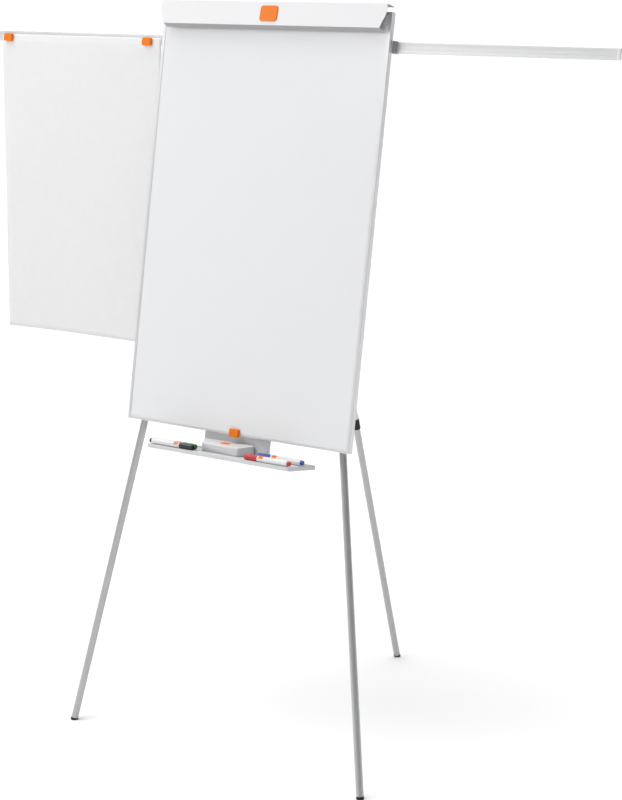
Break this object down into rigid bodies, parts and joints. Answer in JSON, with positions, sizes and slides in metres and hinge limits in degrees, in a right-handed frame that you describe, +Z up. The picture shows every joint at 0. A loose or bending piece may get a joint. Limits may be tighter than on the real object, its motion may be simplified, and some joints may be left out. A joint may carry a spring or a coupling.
{
  "type": "flip chart easel",
  "caption": "Tripod easel with a tilted magnetic writing board, a pad clamp along the top edge, pull-out side arms for loose sheets, telescopic legs and a pen tray",
  "frame": {"origin": "on the floor, in the middle of the rectangle that the whole stand covers", "axes": "+Z is up; the writing face looks towards -Y and leans back by 9.8 degrees; +X runs to the right arm; the single rear leg stands towards +Y"},
  "size_m": [1.8494, 0.9115, 1.8645],
  "materials": {
    "enamel": "glossy",
    "core_board": "matte",
    "zinc_sheet": "satin",
    "frame_metal": "satin",
    "white_paint": "semi-gloss",
    "grey_paint": "semi-gloss",
    "bright_steel": "satin",
    "leg_tube": "polished",
    "arm_metal": "satin",
    "black_plastic": "matte",
    "dark_plastic": "matte",
    "light_plastic": "satin",
    "foot_rubber": "matte",
    "orange_plastic": "glossy",
    "white_plastic": "glossy",
    "ink_black": "glossy",
    "ink_green": "glossy",
    "ink_red": "glossy",
    "ink_blue": "glossy",
    "eraser_felt": "felt",
    "sheet_paper": "matte"
  },
  "bodies": {
    "board": {"writing_sheet": "enamel", "board_core": "core_board", "back_sheet": "zinc_sheet", "frame_left": "frame_metal", "frame_right": "frame_metal", "frame_top": "frame_metal", "frame_bottom": "frame_metal", "frame_rivets": "bright_steel", "arm_rail": "frame_metal", "arm_guides": "dark_plastic", "hub_channel": "grey_paint", "leg_pivot_bolts": "bright_steel", "rear_leg_bracket": "grey_paint", "rear_leg_pin": "bright_steel", "tray_bracket": "grey_paint", "tray": "grey_paint", "tray_screws": "bright_steel", "back_screws": "bright_steel", "hinge_blocks": "grey_paint", "clamp_rod": "bright_steel", "clamp_springs": "bright_steel"},
    "clamp": {"clamp_bar": "white_paint", "clamp_badge": "orange_plastic"},
    "left_hook": {"left_pad_hook": "bright_steel", "left_hook_knob": "black_plastic"},
    "right_hook": {"right_pad_hook": "bright_steel", "right_hook_knob": "black_plastic"},
    "left_arm": {"left_arm": "arm_metal", "left_arm_cap": "light_plastic"},
    "right_arm": {"right_arm": "arm_metal", "right_arm_cap": "light_plastic"},
    "left_leg": {"left_leg_head": "dark_plastic", "left_upper_tube": "leg_tube"},
    "left_collar": {"left_collar": "black_plastic"},
    "left_lower_leg": {"left_lower_tube": "leg_tube", "left_foot": "foot_rubber"},
    "right_leg": {"right_leg_head": "dark_plastic", "right_upper_tube": "leg_tube"},
    "right_collar": {"right_collar": "black_plastic"},
    "right_lower_leg": {"right_lower_tube": "leg_tube", "right_foot": "foot_rubber"},
    "rear_leg": {"rear_leg_head": "dark_plastic", "rear_upper_tube": "leg_tube"},
    "rear_collar": {"rear_collar": "black_plastic"},
    "rear_lower_leg": {"rear_lower_tube": "leg_tube", "rear_foot": "foot_rubber"},
    "eraser": {"eraser_grip": "white_plastic", "eraser_felt": "eraser_felt"},
    "black_marker": {"black_marker": "white_plastic"},
    "black_cap": {"black_cap": "ink_black"},
    "green_marker": {"green_marker": "white_plastic"},
    "green_cap": {"green_cap": "ink_green"},
    "red_marker": {"red_marker": "white_plastic"},
    "red_cap": {"red_cap": "ink_red"},
    "blue_marker": {"blue_marker": "white_plastic"},
    "blue_cap": {"blue_cap": "ink_blue"},
    "paper_sheet": {"paper_sheet": "sheet_paper"},
    "left_magnet": {"left_magnet": "orange_plastic"},
    "right_magnet": {"right_magnet": "orange_plastic"},
    "board_magnet": {"board_magnet": "orange_plastic"}
  },
  "joints": [
    {"name": "clamp_hinge", "type": "hinge", "parent": "board", "child": "clamp", "pos_m": [0, -0.14686, 1.85079], "axis": [-1, 0, 0], "range_deg": [0, 70], "stiffness_Nm_per_rad": 0.5, "springref_deg": -20.05},
    {"name": "left_hook_slide", "type": "slide", "parent": "board", "child": "left_hook", "axis": [1, 0, 0], "range_m": [-0.035, 0.14]},
    {"name": "right_hook_slide", "type": "slide", "parent": "board", "child": "right_hook", "axis": [-1, 0, 0], "range_m": [-0.035, 0.14]},
    {"name": "left_arm_slide", "type": "slide", "parent": "board", "child": "left_arm", "axis": [1, 0, 0], "range_m": [0, 0.5]},
    {"name": "right_arm_slide", "type": "slide", "parent": "board", "child": "right_arm", "axis": [-1, 0, 0], "range_m": [0, 0.5]},
    {"name": "left_leg_fold", "type": "hinge", "parent": "board", "child": "left_leg", "pos_m": [-0.1406, -0.14871, 1.71969], "axis": [0, -0.9854, 0.1702], "range_deg": [0, 4.6]},
    {"name": "left_collar_twist", "type": "hinge", "parent": "left_leg", "child": "left_collar", "pos_m": [-0.30119, -0.30341, 0.82403], "axis": [0.174, 0.1676, 0.9704], "range_deg": [0, 90]},
    {"name": "left_leg_telescope", "type": "slide", "parent": "left_leg", "child": "left_lower_leg", "axis": [0.174, 0.1676, 0.9704], "range_m": [-0.08, 0.7]},
    {"name": "right_leg_fold", "type": "hinge", "parent": "board", "child": "right_leg", "pos_m": [0.1406, -0.14871, 1.71969], "axis": [0, 0.9854, -0.1702], "range_deg": [0, 4.6]},
    {"name": "right_collar_twist", "type": "hinge", "parent": "right_leg", "child": "right_collar", "pos_m": [0.30119, -0.30341, 0.82403], "axis": [-0.174, 0.1676, 0.9704], "range_deg": [0, 90]},
    {"name": "right_leg_telescope", "type": "slide", "parent": "right_leg", "child": "right_lower_leg", "axis": [-0.174, 0.1676, 0.9704], "range_m": [-0.08, 0.7]},
    {"name": "rear_leg_fold", "type": "hinge", "parent": "board", "child": "rear_leg", "pos_m": [0, -0.10799, 1.79384], "axis": [-1, 0, 0], "range_deg": [0, 26.3]},
    {"name": "rear_collar_twist", "type": "hinge", "parent": "rear_leg", "child": "rear_collar", "pos_m": [0, 0.22, 0.73132], "axis": [0, -0.295, 0.9555], "range_deg": [0, 90]},
    {"name": "rear_leg_telescope", "type": "slide", "parent": "rear_leg", "child": "rear_lower_leg", "axis": [0, -0.295, 0.9555], "range_m": [-0.08, 0.7]},
    {"name": "eraser_lift", "type": "slide", "parent": "board", "child": "eraser", "axis": [0, -0.7097, 0.7045], "range_m": [0, 0.08]},
    {"name": "black_marker_lift", "type": "slide", "parent": "board", "child": "black_marker", "axis": [0, 0.1702, 0.9854], "range_m": [0, 0.12]},
    {"name": "green_marker_lift", "type": "slide", "parent": "board", "child": "green_marker", "axis": [0, 0.1702, 0.9854], "range_m": [0, 0.12]},
    {"name": "red_marker_lift", "type": "slide", "parent": "board", "child": "red_marker", "axis": [0, 0.1702, 0.9854], "range_m": [0, 0.12]},
    {"name": "blue_marker_lift", "type": "slide", "parent": "board", "child": "blue_marker", "axis": [0, -0.5764, 0.8171], "range_m": [0, 0.1]},
    {"name": "black_cap_pull", "type": "slide", "parent": "black_marker", "child": "black_cap", "axis": [1, 0, 0], "range_m": [0, 0.03]},
    {"name": "green_cap_pull", "type": "slide", "parent": "green_marker", "child": "green_cap", "axis": [1, 0, 0], "range_m": [0, 0.03]},
    {"name": "red_cap_pull", "type": "slide", "parent": "red_marker", "child": "red_cap", "axis": [-1, 0, 0], "range_m": [0, 0.03]},
    {"name": "blue_cap_pull", "type": "slide", "parent": "blue_marker", "child": "blue_cap", "axis": [-1, 0, 0], "range_m": [0, 0.016]},
    {"name": "paper_slip", "type": "slide", "parent": "board", "child": "paper_sheet", "axis": [0, -0.1702, -0.9854], "range_m": [0, 0.25]},
    {"name": "left_magnet_pull", "type": "slide", "parent": "board", "child": "left_magnet", "axis": [0, -0.9854, 0.1702], "range_m": [0, 0.03]},
    {"name": "right_magnet_pull", "type": "slide", "parent": "board", "child": "right_magnet", "axis": [0, -0.9854, 0.1702], "range_m": [0, 0.03]},
    {"name": "board_magnet_pull", "type": "slide", "parent": "board", "child": "board_magnet", "axis": [0, -0.9854, 0.1702], "range_m": [0, 0.03]}
  ]
}
